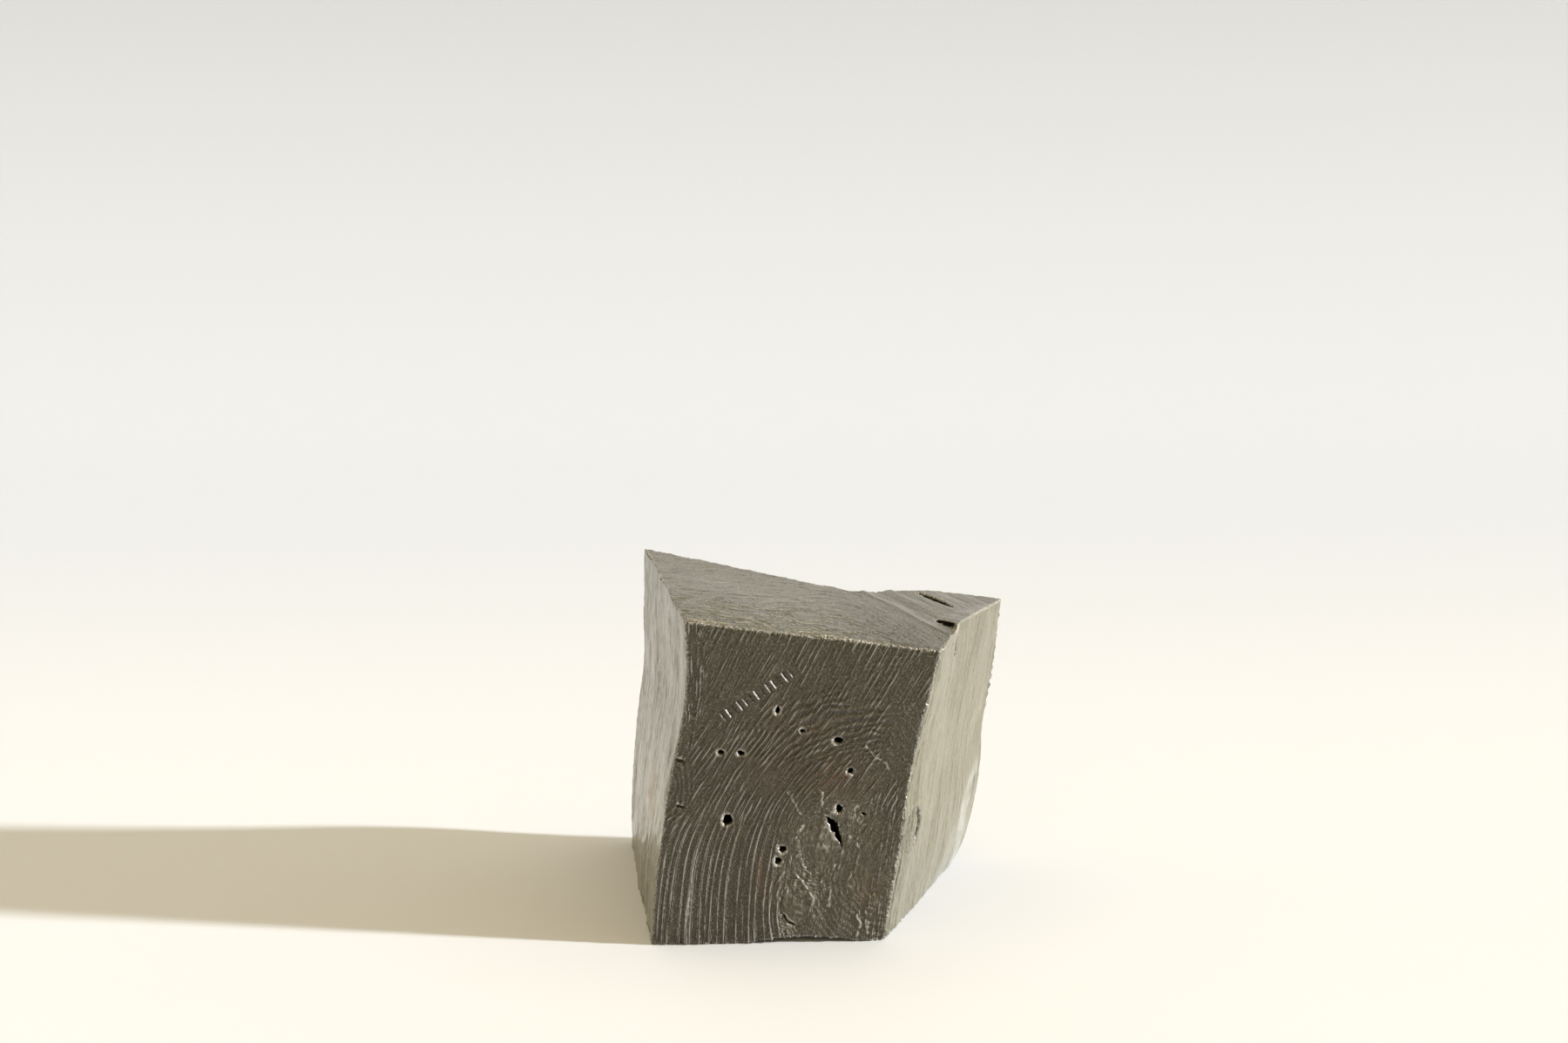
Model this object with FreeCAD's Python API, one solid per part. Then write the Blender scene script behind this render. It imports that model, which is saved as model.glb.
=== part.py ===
"""Ink stick in the shape of an old split timber block, with the knots that sit loose in it.

Millimetres, +Z up. The block rests on its bottom face, at z = 0. The origin is the middle of
the block's bounding box on that face, and the sawn front face looks along -Y. Two faces are
sawn planes (front and top); the other three sides are split faces, lofted between the block's
corner edges.
"""
import FreeCAD
import Part
import math
import os

Vector = FreeCAD.Vector

# ---------------------------------------------------------------- driving dimensions
FRONT_Y = -35.3             # plane of the sawn front face
TOP_Z = 74.5                # height of the sawn top plane above the origin
TOP_SLOPE_X = -0.130        # rise of the top plane per millimetre of x
TOP_SLOPE_Y = 0.0526        # rise of the top plane per millimetre of y
LOFT_TOP = 86.0             # the sides run up to here before the top is sawn off
STATIONS = (0.0, 8.0, 16.0, 24.0, 34.0, 44.0, 56.0, 70.0, LOFT_TOP)

# Corner edges of the block, bottom to top, as (x, y, z).
FRONT_LEFT = (
    (-40.2, FRONT_Y, 0.0), (-38.3, FRONT_Y, 20.0), (-35.4, FRONT_Y, 40.0),
    (-32.5, FRONT_Y, 53.0), (-31.6, FRONT_Y, 66.0), (-30.6, FRONT_Y, LOFT_TOP),
)
FRONT_RIGHT = (
    (13.6, FRONT_Y, 0.0), (16.3, FRONT_Y, 19.0), (20.4, FRONT_Y, 46.0),
    (25.8, FRONT_Y, 69.3), (29.2, FRONT_Y, LOFT_TOP),
)
RIGHT_MIDDLE = (
    (23.6, -13.5, 0.0), (27.2, -13.0, 22.0), (30.2, -13.5, 46.0),
    (32.6, -14.6, 69.6), (34.6, -15.0, LOFT_TOP),
)
BACK_RIGHT = (
    (35.6, 15.2, 0.0), (38.9, 15.4, 7.0), (41.9, 15.3, 23.0), (42.5, 15.3, 35.0),
    (44.6, 13.2, 52.0), (46.0, 11.1, 69.1), (47.2, 9.5, LOFT_TOP),
)
BACK_MIDDLE_RIGHT = (
    (18.0, 20.0, 0.0), (22.0, 22.0, 22.0), (26.0, 18.5, 44.0),
    (29.9, 11.3, 71.2), (31.5, 8.0, LOFT_TOP),
)
BACK_MIDDLE_LEFT = (
    (-8.0, 26.5, 0.0), (-5.0, 27.0, 20.0), (1.0, 18.5, 42.0),
    (8.6, 2.8, 73.4), (11.0, -3.0, LOFT_TOP),
)
BACK_LEFT = (
    (-46.0, 30.6, 0.0), (-45.8, 33.6, 12.0), (-45.0, 35.42, 22.0), (-43.9, 32.4, 33.0),
    (-42.4, 26.8, 48.0), (-41.4, 19.1, 80.9), (-41.2, 18.0, LOFT_TOP),
)
CORNER_EDGES = (
    FRONT_LEFT, FRONT_RIGHT, RIGHT_MIDDLE, BACK_RIGHT,
    BACK_MIDDLE_RIGHT, BACK_MIDDLE_LEFT, BACK_LEFT,
)

# Raised splinter along the right end of the top: a wedge between three points of the top
# plane, lifted at its front corner.
LIP_TIP = (26.6, -11.6)
LIP_FRONT = (32.6, -17.8)
LIP_BACK = (47.5, 12.5)
LIP_OUTER = (42.0, -18.0)
LIP_RISE = 1.3

# Hollow under the front edge of the bottom, part of a large ball.
ARCH_X = -5.0
ARCH_HEIGHT = 1.3
ARCH_HALF_SPAN = 12.5

# Beetle holes in the front face: (x, z, radius, depth, drift of the bore in x, in z).
BEETLE_HOLES = (
    (-11.2, 55.4, 0.78, 9.0, 0.10, 0.05),
    (-5.3, 51.1, 0.63, 7.0, -0.08, 0.10),
    (2.4, 48.0, 0.79, 9.0, 0.12, -0.06),
    (-23.8, 46.2, 0.69, 8.0, 0.05, 0.12),
    (-19.5, 46.2, 0.79, 9.0, -0.04, -0.08),
    (-23.0, 30.3, 1.28, 12.0, 0.06, 0.04),
    (-10.1, 22.7, 0.89, 9.0, -0.10, 0.06),
    (-11.1, 19.9, 0.83, 8.0, -0.14, -0.05),
    (5.5, 40.9, 0.69, 8.0, 0.05, 0.08),
    (2.7, 31.9, 0.89, 6.0, 0.12, 0.16),
    (-33.1, 44.3, 0.39, 4.0, 0.02, 0.05),
    (-33.2, 33.4, 0.39, 4.0, 0.04, -0.03),
)

# Drying cracks in the top: (start x, y), (end x, y), widest opening, depth.
DRYING_CRACKS = (
    ((24.2, 8.6), (33.0, -1.9), 2.3, 11.0),
    ((26.6, -11.6), (32.2, -16.6), 1.5, 8.0),
)

# Knots in the front face: centre x, z, half width, half height, depth, and the open gap
# beside the knot as its shift in x, in z and its depth (a knot with no gap has zeros).
TAPER = 0.72
LARGE_KNOT = (-2.0, 23.8, 4.6, 6.7, 18.0, (0.95, 0.35, 11.0))
LOWER_KNOT = (-6.2, 8.4, 3.2, 4.2, 13.0, (-0.30, -0.32, 6.0))
SMALL_KNOT = (8.3, 30.9, 2.2, 2.0, 8.0, (0.0, 0.0, 0.0))
SLIT_LENGTH = 1.8
SLIT_WIDTH = 0.55
SLIT_DEPTH = 3.0
SLIT_ANGLE = -35.0

# Knot in the right face, near the front edge: its centre in y and z.
SIDE_KNOT_Y = -28.2
SIDE_KNOT_Z = 24.5
SIDE_KNOT_HALF_WIDTH = 4.6
SIDE_KNOT_HALF_HEIGHT = 5.2
SIDE_KNOT_DEPTH = 11.0
SIDE_KNOT_GAP = (0.75, -0.30, 7.0)

# Row of plain nicks pressed into the front face, with no meaning.
NICK_COUNT = 13
NICK_START = (-23.1, 54.6)
NICK_END = (-8.0, 64.5)
NICK_LENGTH = 2.2
NICK_WIDTH = 0.5
NICK_DEPTH = 0.35

CLEAR = 5.0                 # how far cutting tools stand out of the block


# ---------------------------------------------------------------- the block's sides
def slope_at(edge, index, axis):
    """Slope of a corner edge against z at one of its points."""
    low = edge[max(index - 1, 0)]
    high = edge[min(index + 1, len(edge) - 1)]
    return (high[axis] - low[axis]) / (high[2] - low[2])


def edge_point(edge, z):
    """Point of a corner edge at height z, on a smooth curve through the edge's points."""
    index = 0
    while index < len(edge) - 2 and z > edge[index + 1][2]:
        index += 1
    low = edge[index]
    high = edge[index + 1]
    span = high[2] - low[2]
    t = (z - low[2]) / span
    place = []
    for axis in (0, 1):
        start_slope = slope_at(edge, index, axis) * span
        end_slope = slope_at(edge, index + 1, axis) * span
        place.append(
            (2 * t**3 - 3 * t**2 + 1) * low[axis] + (t**3 - 2 * t**2 + t) * start_slope
            + (3 * t**2 - 2 * t**3) * high[axis] + (t**3 - t**2) * end_slope
        )
    return Vector(place[0], place[1], z)


def outline_at(z):
    """Closed outline of the block at height z."""
    corners = [edge_point(edge, z) for edge in CORNER_EDGES]
    return Part.makePolygon(corners + [corners[0]])


def top_height(x, y):
    """Height of the sawn top plane."""
    return TOP_Z + TOP_SLOPE_X * x + TOP_SLOPE_Y * y


def prism(points, direction):
    """Solid swept from a flat polygon."""
    outline = Part.makePolygon(points + [points[0]])
    return Part.Face(outline).extrude(direction)


def above_top_plane():
    """Everything above the sawn top plane."""
    reach = 80.0
    corners = ((-reach, -reach), (reach, -reach), (reach, reach), (-reach, reach))
    points = [Vector(x, y, top_height(x, y)) for x, y in corners]
    return prism(points, Vector(0, 0, 60))


def top_lip(sides):
    """Raised splinter on the right end of the top, trimmed to the block's sides."""
    plan = (LIP_TIP, LIP_FRONT, LIP_OUTER, LIP_BACK)
    base = [Vector(x, y, top_height(x, y) - 1.0) for x, y in plan]
    column = prism(base, Vector(0, 0, 20))
    tip = Vector(LIP_TIP[0], LIP_TIP[1], top_height(*LIP_TIP))
    front = Vector(LIP_FRONT[0], LIP_FRONT[1], top_height(*LIP_FRONT) + LIP_RISE)
    back = Vector(LIP_BACK[0], LIP_BACK[1], top_height(*LIP_BACK))
    normal = (front - tip).cross(back - tip).normalize()
    across = (back - tip).normalize()
    along = normal.cross(across)
    reach = 60.0
    corners = ((-reach, -reach), (reach, -reach), (reach, reach), (-reach, reach))
    roof = [tip + across * i + along * j for i, j in corners]
    return column.common(sides).cut(prism(roof, normal * 40))


def sawn_block():
    """The block with its split sides, sawn top, raised lip and the hollow below the front."""
    sides = Part.makeLoft([outline_at(z) for z in STATIONS], True, False)
    block = sides.cut(above_top_plane()).fuse(top_lip(sides))
    radius = (ARCH_HALF_SPAN**2 + ARCH_HEIGHT**2) / (2 * ARCH_HEIGHT)
    centre = Vector(ARCH_X, FRONT_Y, ARCH_HEIGHT - radius)
    ball = Part.makeSphere(radius, centre, Vector(1, 0, 0))
    return block.cut(ball)


# ---------------------------------------------------------------- cuts in the block
def beetle_hole(x, z, radius, depth, drift_x, drift_z):
    """One blind bore, a little off square to the front face."""
    direction = Vector(drift_x, 1, drift_z).normalize()
    start = Vector(x, FRONT_Y, z) - direction * CLEAR
    return Part.makeCylinder(radius, CLEAR + depth, start, direction)


def drying_crack(start, end, width, depth):
    """Lens-shaped crack cut down into the top."""
    middle_x = (start[0] + end[0]) / 2
    middle_y = (start[1] + end[1]) / 2
    length = math.hypot(end[0] - start[0], end[1] - start[1])
    across = Vector(-(end[1] - start[1]) / length, (end[0] - start[0]) / length, 0)
    floor = top_height(middle_x, middle_y) - depth
    first = Vector(start[0], start[1], floor)
    last = Vector(end[0], end[1], floor)
    middle = Vector(middle_x, middle_y, floor)
    near = Part.Arc(first, middle - across * (width / 2), last).toShape()
    far = Part.Arc(last, middle + across * (width / 2), first).toShape()
    return Part.Face(Part.Wire([near, far])).extrude(Vector(0, 0, depth + 2 * CLEAR))


def nick(x, z):
    """One V-shaped nick, square to the row. The wedge is twice as wide where it stands out
    of the face by its own depth, which makes it NICK_WIDTH wide at the face."""
    half_length = NICK_LENGTH / 2
    section = [
        Vector(-NICK_WIDTH, FRONT_Y - NICK_DEPTH, -half_length),
        Vector(NICK_WIDTH, FRONT_Y - NICK_DEPTH, -half_length),
        Vector(0, FRONT_Y + NICK_DEPTH, -half_length),
    ]
    wedge = prism(section, Vector(0, 0, NICK_LENGTH))
    rise = NICK_END[1] - NICK_START[1]
    run = NICK_END[0] - NICK_START[0]
    row_angle = math.degrees(math.atan2(rise, run))
    wedge.rotate(Vector(0, 0, 0), Vector(0, -1, 0), row_angle)
    wedge.translate(Vector(x, 0, z))
    return wedge


def nick_row():
    """The nicks, evenly spaced from the start to the end of the row."""
    nicks = []
    for index in range(NICK_COUNT):
        t = index / (NICK_COUNT - 1)
        x = NICK_START[0] + t * (NICK_END[0] - NICK_START[0])
        z = NICK_START[1] + t * (NICK_END[1] - NICK_START[1])
        nicks.append(nick(x, z))
    return nicks


# ---------------------------------------------------------------- knots
def oval(centre, wide, tall, half_width, half_height):
    """Closed oval wire; wide and tall are the directions of its two half axes."""
    if half_width >= half_height:
        long_axis, short_axis = wide, tall
    else:
        long_axis, short_axis = tall, wide
    large = max(half_width, half_height)
    small = min(half_width, half_height)
    if large - small < 1e-6:
        return Part.Wire(Part.makeCircle(large, centre, wide.cross(tall)))
    curve = Part.Ellipse(centre + long_axis * large, centre + short_axis * small, centre)
    return Part.Wire(curve.toShape())


def knot_cone(mouth, inward, wide, half_width, half_height, depth, stand_out):
    """Tapered oval plug that runs from outside the face into the block."""
    tall = wide.cross(inward).normalize()
    rate = (1 - TAPER) / depth
    wires = []
    for reach in (-stand_out, depth):
        share = 1 - rate * reach
        centre = mouth + inward * reach
        wires.append(oval(centre, wide, tall, half_width * share, half_height * share))
    return Part.makeLoft(wires, True, True)


def knot_tools(mouth, inward, wide, half_width, half_height, depth, gap):
    """The cone that shapes a knot, and the list of cones that open its socket."""
    cone = knot_cone(mouth, inward, wide, half_width, half_height, depth, CLEAR)
    sockets = [cone]
    if gap[2] > 0:
        tall = Vector(0, 0, 1)
        shifted = mouth + wide * gap[0] + tall * gap[1]
        sockets.append(
            knot_cone(shifted, inward, wide, half_width, half_height, gap[2], CLEAR)
        )
    return cone, sockets


def front_knot(spec):
    """Shaping cone and socket cones of a knot in the front face."""
    x, z, half_width, half_height, depth, gap = spec
    mouth = Vector(x, FRONT_Y, z)
    return knot_tools(mouth, Vector(0, 1, 0), Vector(1, 0, 0), half_width, half_height, depth, gap)


def right_face_point(y, z):
    """Point of the right face between the front and the middle corner edge."""
    near = edge_point(FRONT_RIGHT, z)
    far = edge_point(RIGHT_MIDDLE, z)
    t = (y - near.y) / (far.y - near.y)
    return near + (far - near) * t


def side_knot():
    """Shaping cone and socket cones of the knot in the right face."""
    mouth = right_face_point(SIDE_KNOT_Y, SIDE_KNOT_Z)
    wide = (right_face_point(SIDE_KNOT_Y + 1, SIDE_KNOT_Z) - mouth).normalize()
    tall = (right_face_point(SIDE_KNOT_Y, SIDE_KNOT_Z + 1) - mouth).normalize()
    inward = tall.cross(wide).normalize()
    if inward.x > 0:
        inward = inward * -1
    return knot_tools(mouth, inward, wide, SIDE_KNOT_HALF_WIDTH, SIDE_KNOT_HALF_HEIGHT,
                      SIDE_KNOT_DEPTH, SIDE_KNOT_GAP)


def knot_slit():
    """Slanted slit in the small knot."""
    x, z = SMALL_KNOT[0], SMALL_KNOT[1]
    half_length = SLIT_LENGTH / 2
    ends = [Vector(-half_length, 0, 0), Vector(half_length, 0, 0)]
    upper = Part.Arc(ends[0], Vector(0, 0, SLIT_WIDTH / 2), ends[1]).toShape()
    lower = Part.Arc(ends[1], Vector(0, 0, -SLIT_WIDTH / 2), ends[0]).toShape()
    slit = Part.Face(Part.Wire([upper, lower])).extrude(Vector(0, SLIT_DEPTH + CLEAR, 0))
    slit.rotate(Vector(0, 0, 0), Vector(0, -1, 0), SLIT_ANGLE)
    slit.translate(Vector(x, FRONT_Y - CLEAR, z))
    return slit


# ---------------------------------------------------------------- the parts
def build_parts():
    """All pieces by node name."""
    blank = sawn_block()
    knots = {
        "large_knot": front_knot(LARGE_KNOT),
        "lower_knot": front_knot(LOWER_KNOT),
        "small_knot": front_knot(SMALL_KNOT),
        "side_knot": side_knot(),
    }
    block = blank
    for cone, sockets in knots.values():
        for socket in sockets:
            block = block.cut(socket)
    cuts = [beetle_hole(*hole) for hole in BEETLE_HOLES]
    cuts += [drying_crack(*crack) for crack in DRYING_CRACKS]
    cuts += nick_row()
    block = block.cut(cuts)
    parts = {"ink_block": block}
    for name, (cone, sockets) in knots.items():
        parts[name] = blank.common(cone)
    parts["small_knot"] = parts["small_knot"].cut(knot_slit())
    return parts


def main():
    os.makedirs("parts", exist_ok=True)
    for name, shape in build_parts().items():
        solid = shape.Solids[0]
        solid.exportStep("parts/" + name + ".step")
        print(name, "pieces", len(shape.Solids), "valid", solid.isValid(), "mm3", round(solid.Volume))


main()
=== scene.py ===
"""Looks of the ink stick: a satin black block with the relief of old split timber.

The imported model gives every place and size. Each solid is remeshed to small even quads, and
the timber relief is then pressed into those quads. Lengths here are in millimetres; meshes
are scaled to Blender's metres at the end.
"""
import bpy
import bmesh
import math
import numpy as np
from mathutils import Matrix, Vector
from mathutils.bvhtree import BVHTree
from mathutils.kdtree import KDTree


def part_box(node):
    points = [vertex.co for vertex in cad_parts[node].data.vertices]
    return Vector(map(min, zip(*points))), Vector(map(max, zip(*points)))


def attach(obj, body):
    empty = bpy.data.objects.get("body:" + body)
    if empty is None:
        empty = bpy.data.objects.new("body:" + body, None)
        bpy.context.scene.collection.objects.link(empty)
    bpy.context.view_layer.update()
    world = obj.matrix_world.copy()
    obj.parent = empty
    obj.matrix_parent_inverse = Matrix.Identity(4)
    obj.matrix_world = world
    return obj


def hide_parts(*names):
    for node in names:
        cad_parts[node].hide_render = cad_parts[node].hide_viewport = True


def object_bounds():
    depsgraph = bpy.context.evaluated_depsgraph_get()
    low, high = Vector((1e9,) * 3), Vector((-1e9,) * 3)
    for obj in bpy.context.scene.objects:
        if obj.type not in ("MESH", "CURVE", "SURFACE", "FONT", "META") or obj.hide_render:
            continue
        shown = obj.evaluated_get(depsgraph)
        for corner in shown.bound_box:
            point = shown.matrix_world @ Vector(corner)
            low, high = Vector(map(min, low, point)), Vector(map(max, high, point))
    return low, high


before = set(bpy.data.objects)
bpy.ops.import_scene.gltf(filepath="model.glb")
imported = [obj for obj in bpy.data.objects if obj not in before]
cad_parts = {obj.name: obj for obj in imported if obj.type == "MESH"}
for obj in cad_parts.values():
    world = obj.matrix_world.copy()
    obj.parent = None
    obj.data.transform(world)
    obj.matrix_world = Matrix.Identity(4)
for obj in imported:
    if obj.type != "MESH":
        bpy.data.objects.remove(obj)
cad_low, cad_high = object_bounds()

MM = 1000.0                         # millimetres in a metre
BLOCK_VOXEL = 0.34
KNOT_VOXEL = 0.2
FINE_DEPTH = 2.6                    # how far behind the front plane faces are split finer
FRONT_Y = cad_low.y * MM            # plane of the sawn front face
FRONT_KNOTS = ("large_knot", "lower_knot", "small_knot")


# ---------------------------------------------------------------- noise
def smooth(low, high, value):
    """0 below low, 1 above high, smooth between; works either way round."""
    t = np.clip((value - low) / (high - low), 0.0, 1.0)
    return t * t * (3 - 2 * t)


def lattice(i, j, k, seed):
    """Repeatable value from -1 to 1 for each whole-number lattice point."""
    mixed = (i * 73856093) ^ (j * 19349663) ^ (k * 83492791) ^ (seed * 40503 + 977)
    mixed = ((mixed ^ (mixed >> 13)) * 1274126177) & 0xFFFFFFFF
    mixed = ((mixed ^ (mixed >> 15)) * 668265263) & 0xFFFFFFFF
    return ((mixed ^ (mixed >> 16)) & 0xFFFF) / 32767.5 - 1.0


def noise(u, v, seed, w=None):
    """Smooth value noise from -1 to 1 with a cell of one unit, in two or three dimensions."""
    axes = [np.asarray(u, float), np.asarray(v, float)]
    if w is not None:
        axes.append(np.asarray(w, float))
    cells = [np.floor(a).astype(np.int64) for a in axes]
    parts = [a - c for a, c in zip(axes, cells)]
    parts = [p * p * (3 - 2 * p) for p in parts]
    if w is None:
        cells.append(np.int64(0))
        corners = ((0, 0, 0), (1, 0, 0), (0, 1, 0), (1, 1, 0))
    else:
        corners = [(a, b, c) for a in (0, 1) for b in (0, 1) for c in (0, 1)]
    total = 0.0
    for corner in corners:
        share = 1.0
        for part, step in zip(parts, corner):
            share = share * (part if step else 1 - part)
        total = total + share * lattice(
            cells[0] + corner[0], cells[1] + corner[1], cells[2] + corner[2], seed
        )
    return total


def layered(u, v, seed):
    """Noise with a layer of half its size and strength on top, from -1 to 1."""
    finer = noise(u * 2.03, v * 2.03, seed + 31)
    return (noise(u, v, seed) + 0.5 * finer) / 1.5


def crest(phase):
    """Rounded ridges, 0 in the valleys and 1 on the crests, one per unit of phase."""
    return 0.5 + 0.5 * np.cos(2 * math.pi * phase)


def fibres(across, along, width, length, seed):
    """Long thin ridges and grooves, about -1 to 1."""
    first = noise(across / width, along / length, seed)
    second = noise(across / width * 1.9 + 17.3, along / length * 1.3, seed + 5)
    return 0.65 * first + 0.35 * second


def hairs(across, along, spacing, length, seed, cover=0.0, sharp=4):
    """Sharp narrow ridges, each of which comes and goes along the grain; 0 to 1."""
    lane = across / spacing + 0.14 * noise(across / spacing / 3, along / length, seed)
    number = np.floor(lane + 0.5)
    shown = noise(number * 7.3, along / length + number * 3.7, seed + 1)
    return crest(lane) ** sharp * smooth(-cover, 0.45 - cover, shown)


# ---------------------------------------------------------------- meshes
def voxel_mesh(node, voxel):
    """Closed mesh of small even quads that follows a CAD node, in millimetres."""
    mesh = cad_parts[node].data.copy()
    mesh.transform(Matrix.Scale(MM, 4))
    holder = bpy.data.objects.new("voxels", mesh)
    bpy.context.scene.collection.objects.link(holder)
    remesh = holder.modifiers.new("voxels", "REMESH")
    remesh.mode = "VOXEL"
    remesh.voxel_size = voxel
    remesh.use_smooth_shade = True
    graph = bpy.context.evaluated_depsgraph_get()
    made = bpy.data.meshes.new_from_object(holder.evaluated_get(graph))
    bpy.data.objects.remove(holder)
    made.materials.clear()
    return made


def without_islands(mesh):
    """Deletes the tiny loose shells that remeshing can leave at the bottom of a thin crack."""
    work = bmesh.new()
    work.from_mesh(mesh)
    unseen = set(work.verts)
    shells = []
    for start in work.verts:
        if start not in unseen:
            continue
        unseen.remove(start)
        shell = [start]
        for corner in shell:
            beside = [edge.other_vert(corner) for edge in corner.link_edges]
            beside = [vert for vert in beside if vert in unseen]
            unseen.difference_update(beside)
            shell.extend(beside)
        shells.append(shell)
    shells.sort(key=len)
    loose = [vert for shell in shells[:-1] for vert in shell]
    bmesh.ops.delete(work, geom=loose, context="VERTS")
    work.to_mesh(mesh)
    work.free()
    mesh.update()


def split_near_front(mesh):
    """Splits the faces of the front in four, because that is where the fine relief is."""
    work = bmesh.new()
    work.from_mesh(mesh)
    limit = FRONT_Y + FINE_DEPTH
    edges = set()
    for face in work.faces:
        if max(v.co.y for v in face.verts) < limit:
            edges.update(face.edges)
    bmesh.ops.subdivide_edges(work, edges=list(edges), cuts=1, use_grid_fill=True)
    work.to_mesh(mesh)
    work.free()
    mesh.update()


def places(mesh):
    """Vertex positions and normals as two arrays."""
    count = len(mesh.vertices)
    points = np.empty(count * 3, np.float32)
    mesh.vertices.foreach_get("co", points)
    normals = np.empty(count * 3, np.float32)
    mesh.vertex_normals.foreach_get("vector", normals)
    return points.reshape(-1, 3).astype(float), normals.reshape(-1, 3).astype(float)


def move_to(mesh, points):
    """Writes new vertex positions."""
    mesh.vertices.foreach_set("co", points.astype(np.float32).ravel())
    mesh.update()


def store(mesh, name, values):
    """Keeps one number or vector per vertex for the materials to read."""
    kind = "FLOAT" if values.ndim == 1 else "FLOAT_VECTOR"
    field = "value" if values.ndim == 1 else "vector"
    attribute = mesh.attributes.new(name, kind, "POINT")
    attribute.data.foreach_set(field, values.astype(np.float32).ravel())


def in_millimetres(corner):
    """A corner of a CAD box as an array in millimetres."""
    return np.array(corner) * MM


# ---------------------------------------------------------------- the block's own lines
class Outline:
    """Left, right and top limits of the front face, read from the block's mesh."""

    def __init__(self, points):
        on_front = points[np.abs(points[:, 1] - FRONT_Y) < 0.15]
        self.heights = np.arange(0.5, on_front[:, 2].max(), 1.0)
        rows = [on_front[np.abs(on_front[:, 2] - z) < 0.5][:, 0] for z in self.heights]
        self.left_edge = np.array([row.min() for row in rows])
        self.right_edge = np.array([row.max() for row in rows])
        self.columns = np.arange(self.left_edge.min() + 1, self.right_edge.max() - 1, 1.0)
        tops = [on_front[np.abs(on_front[:, 0] - x) < 0.5][:, 2].max() for x in self.columns]
        self.top_edge = np.array(tops)

    def left(self, z):
        return np.interp(z, self.heights, self.left_edge)

    def right(self, z):
        return np.interp(z, self.heights, self.right_edge)

    def top(self, x):
        return np.interp(x, self.columns, self.top_edge)

    def inside(self, x, z):
        """Distance from the nearest limit of the face, in millimetres."""
        sides = np.minimum(x - self.left(z), self.right(z) - x)
        return np.minimum(np.minimum(sides, self.top(x) - z), z)


def knot_oval(node):
    """Centre x and z and half sizes of a front knot, from its CAD box."""
    low, high = (in_millimetres(c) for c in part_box(node))
    centre = (low + high) / 2
    half = (high - low) / 2
    return centre[0], centre[2], half[0], half[2]


KNOTS = {node: knot_oval(node) for node in FRONT_KNOTS}


def knot_distance(x, z, node):
    """Distance from a front knot's centre in units of its own radius."""
    cx, cz, half_x, half_z = KNOTS[node]
    return np.hypot((x - cx) / half_x, (z - cz) / half_z)


# ---------------------------------------------------------------- front face relief
LEAN = 0.72                 # how far the upper grain leans right per millimetre of height
LEAN_EASE = 0.26            # how much less it leans towards the top
LEAN_START = 26.0           # height where the grain starts to lean
LEAN_END = 58.0             # height where it starts to lean less
LEAN_BLEND = 6.0            # how gently, in millimetres of height, each of these sets in
RING_CENTRE = (18.0, 18.0)  # the growth rings arch over this point
RING_STEP = 1.55            # millimetres from ring to ring
RIDGE_STEP = 1.85           # millimetres from ridge to ridge low on the left

# Raised threads of hard grain among the knots: (x, z) points, width, height.
THREADS = (
    (((-7.2, 24.1), (-6.4, 22.4), (-6.0, 20.5), (-5.4, 19.4)), 0.24, 0.36),
    (((-6.6, 16.7), (-4.8, 14.1), (-2.8, 10.9), (-3.6, 7.7)), 0.24, 0.36),
    (((-4.6, 14.6), (-2.2, 14.0), (-1.0, 15.2)), 0.22, 0.22),
    (((7.5, 6.5), (7.7, 3.9), (6.9, 1.3)), 0.36, 0.32),
    (((9.4, 8.4), (9.0, 5.0), (9.6, 2.2)), 0.26, 0.24),
    (((-1.6, 37.1), (-0.9, 35.2), (-0.6, 33.0)), 0.26, 0.30),
    (((1.2, 12.6), (0.6, 10.4), (0.9, 8.6)), 0.26, 0.26),
    (((5.6, 17.2), (5.0, 15.0), (5.4, 13.2)), 0.30, 0.26),
    (((5.0, 26.0), (7.6, 22.4), (7.2, 18.6)), 0.30, 0.22),
    (((-8.6, 36.4), (-6.8, 33.6), (-5.4, 30.6)), 0.24, 0.24),
    (((8.6, 47.6), (11.4, 44.4), (14.2, 41.6)), 0.24, 0.26),
)

SLITS = ((-33.0, 44.3), (-33.0, 33.4))      # two small slits near the left edge

NICK_COUNT = 13
NICK_START = (-23.1, 54.6)
NICK_END = (-8.0, 64.5)
NICK_LENGTH = 2.2


def around_knots(x, z):
    """Coordinates squeezed towards the knots, so that grain drawn in them bends round."""
    new_x = np.array(x, float)
    new_z = np.array(z, float)
    for cx, cz, half_x, half_z in KNOTS.values():
        reach_x, reach_z = half_x * 1.9, half_z * 1.9
        pull = 0.62 * np.exp(-(((x - cx) / reach_x) ** 2 + ((z - cz) / reach_z) ** 2))
        new_x -= pull * (x - cx)
        new_z -= pull * (z - cz)
    return new_x, new_z


def height_above(z, start):
    """Height over a start, rounded off below it over a few millimetres."""
    return LEAN_BLEND * np.logaddexp(0.0, (z - start) / LEAN_BLEND)


def front_grain(x, z):
    """Across and along coordinates of the grain on the front face."""
    bent_x, bent_z = around_knots(x, z)
    lean = LEAN * height_above(bent_z, LEAN_START) - LEAN_EASE * height_above(bent_z, LEAN_END)
    drift = 0.7 * noise(x / 9.0, z / 17.0, 3) + 0.05 * noise(x / 3.1, z / 9.0, 4)
    across = bent_x - lean + drift
    return across, bent_z


def ring_phase(x, z):
    """Growth rings that arch over the knots, one ring per unit."""
    radius = np.hypot(x - RING_CENTRE[0], z - RING_CENTRE[1])
    wander = 1.5 * noise(x / 9.0, z / 7.0, 6) + 0.45 * noise(x / 3.2, z / 2.4, 7)
    return radius / RING_STEP + wander


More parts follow.
